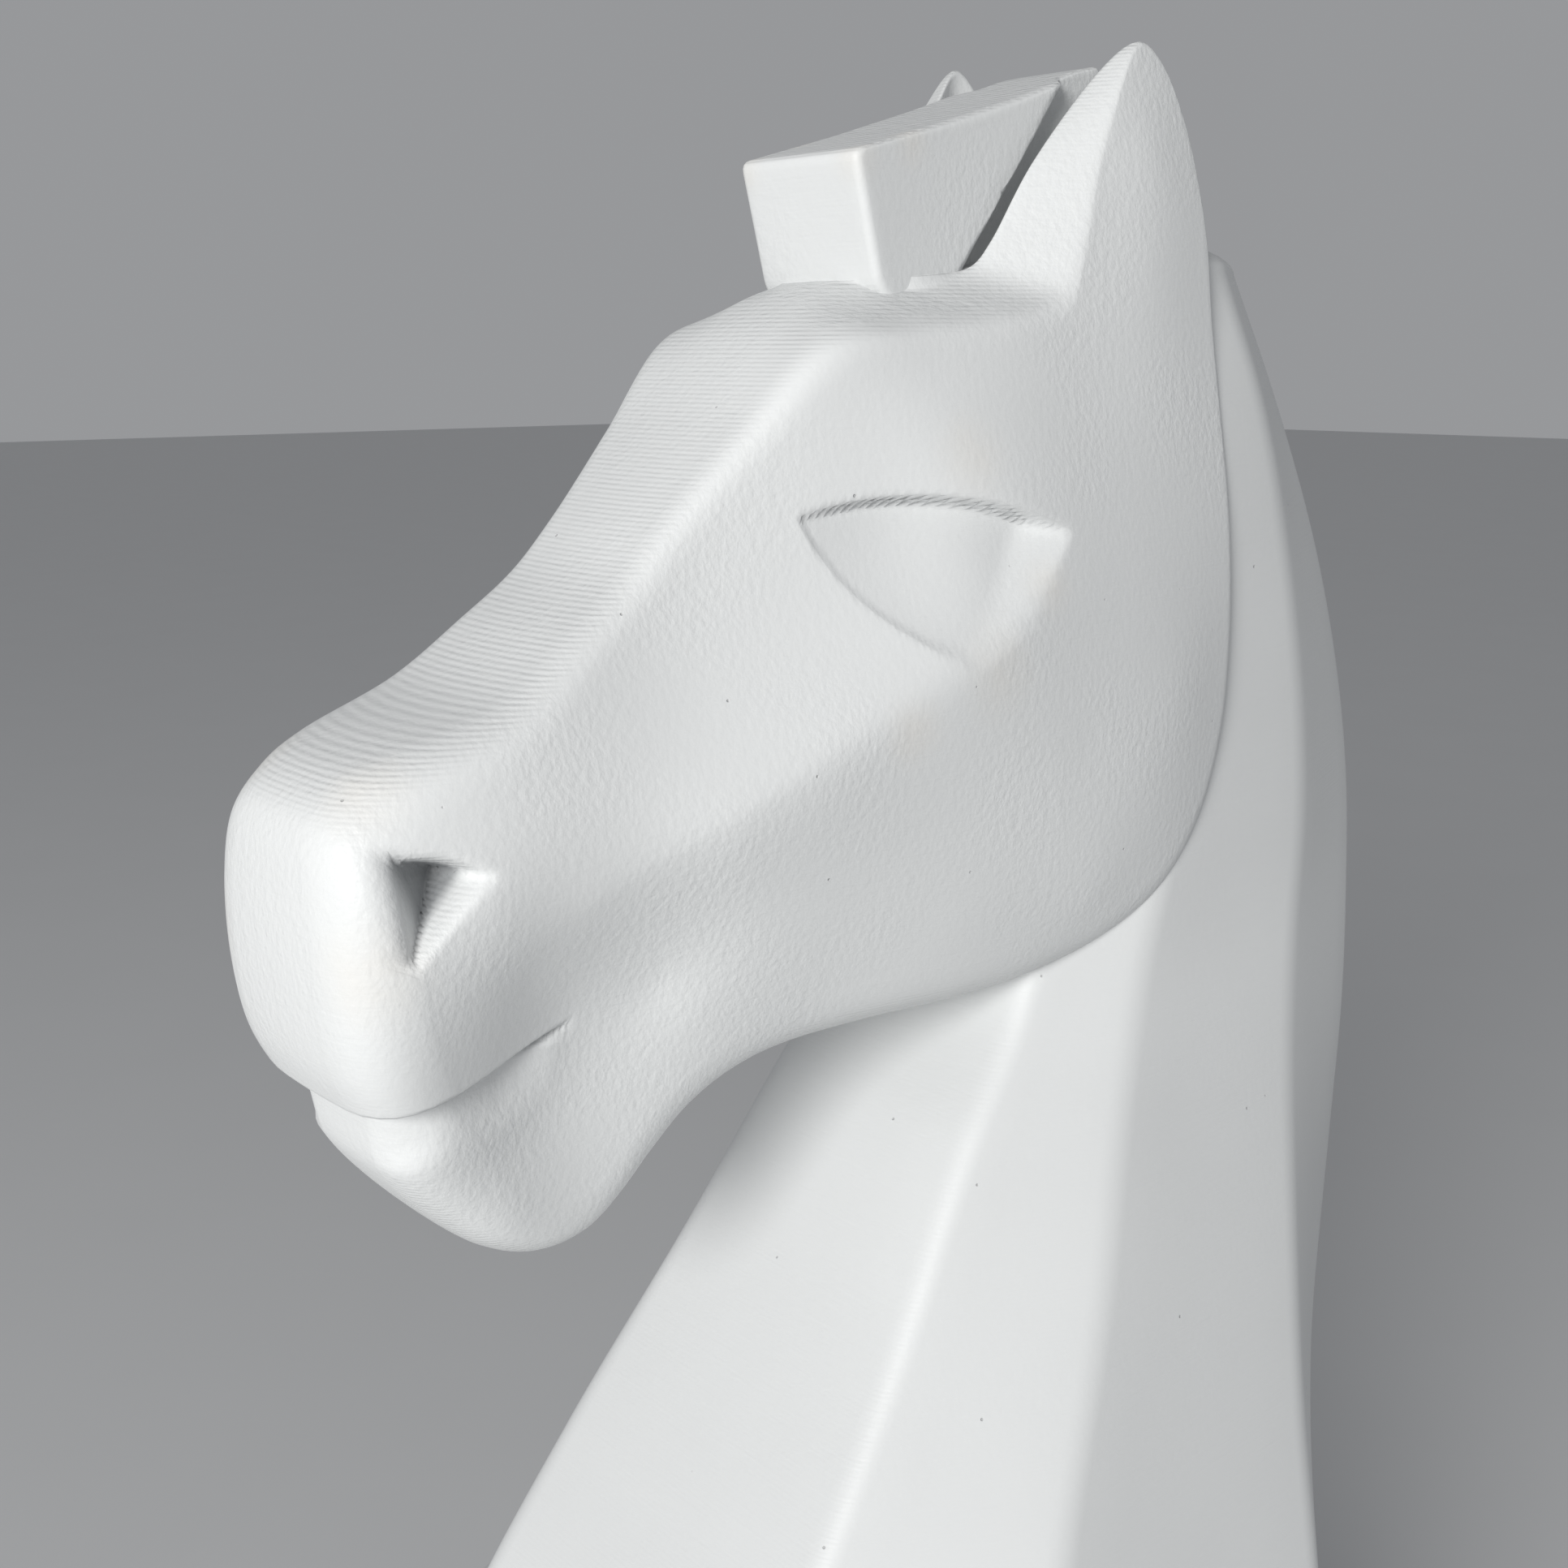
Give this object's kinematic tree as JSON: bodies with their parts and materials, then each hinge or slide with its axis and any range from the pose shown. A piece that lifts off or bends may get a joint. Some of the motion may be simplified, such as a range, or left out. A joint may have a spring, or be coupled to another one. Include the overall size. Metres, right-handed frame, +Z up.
{
  "type": "giant chess knight",
  "caption": "White printed knight piece for a garden chess set: horse head with square forelock on a faceted neck and a turned weighted pedestal with a screw filler plug.",
  "frame": {"origin": "centre of the foot circle on the floor", "axes": "+Z up, the horse faces -Y, its left side is +X"},
  "size_m": [0.188, 0.188, 0.3116],
  "materials": {
    "white_print": "white primer paint over printed layers, satin",
    "grey_print": "bare printed plastic, dark grey",
    "rubber": "moulded",
    "ballast_steel": "turned, oiled",
    "fastener_steel": "zinc plated",
    "brass": "knurled"
  },
  "bodies": {
    "piece": {"head_shell": "white_print", "forelock_block": "white_print", "neck_shell": "white_print", "collar_ring": "white_print", "base_shell": "white_print", "head_key": "white_print", "base_cover": "grey_print", "foot_ring": "rubber", "ballast_ring": "ballast_steel", "centre_bolt": "fastener_steel", "bolt_nut": "fastener_steel", "lower_washer": "fastener_steel", "upper_washer": "fastener_steel", "cover_screw_1": "fastener_steel", "cover_screw_2": "fastener_steel", "cover_screw_3": "fastener_steel", "cover_screw_4": "fastener_steel", "key_screw_1": "fastener_steel", "key_screw_2": "fastener_steel", "cover_insert_1": "brass", "cover_insert_2": "brass", "cover_insert_3": "brass", "cover_insert_4": "brass"},
    "plug_seal": {"filler_seal": "rubber"},
    "plug": {"filler_cap": "grey_print"}
  },
  "joints": [
    {"name": "plug_travel", "type": "slide", "parent": "piece", "child": "plug_seal", "axis": [0, 1, 0], "range_m": [0, 0.009]},
    {"name": "plug_turn", "type": "hinge", "parent": "plug_seal", "child": "plug", "pos_m": [0, 0.08, 0.033], "axis": [0, 1, 0], "range_deg": [-1080, 0]}
  ],
  "couplings": [
    {"joint": "plug_travel", "follows": "plug_turn", "m_per_rad": -0.00047746}
  ]
}
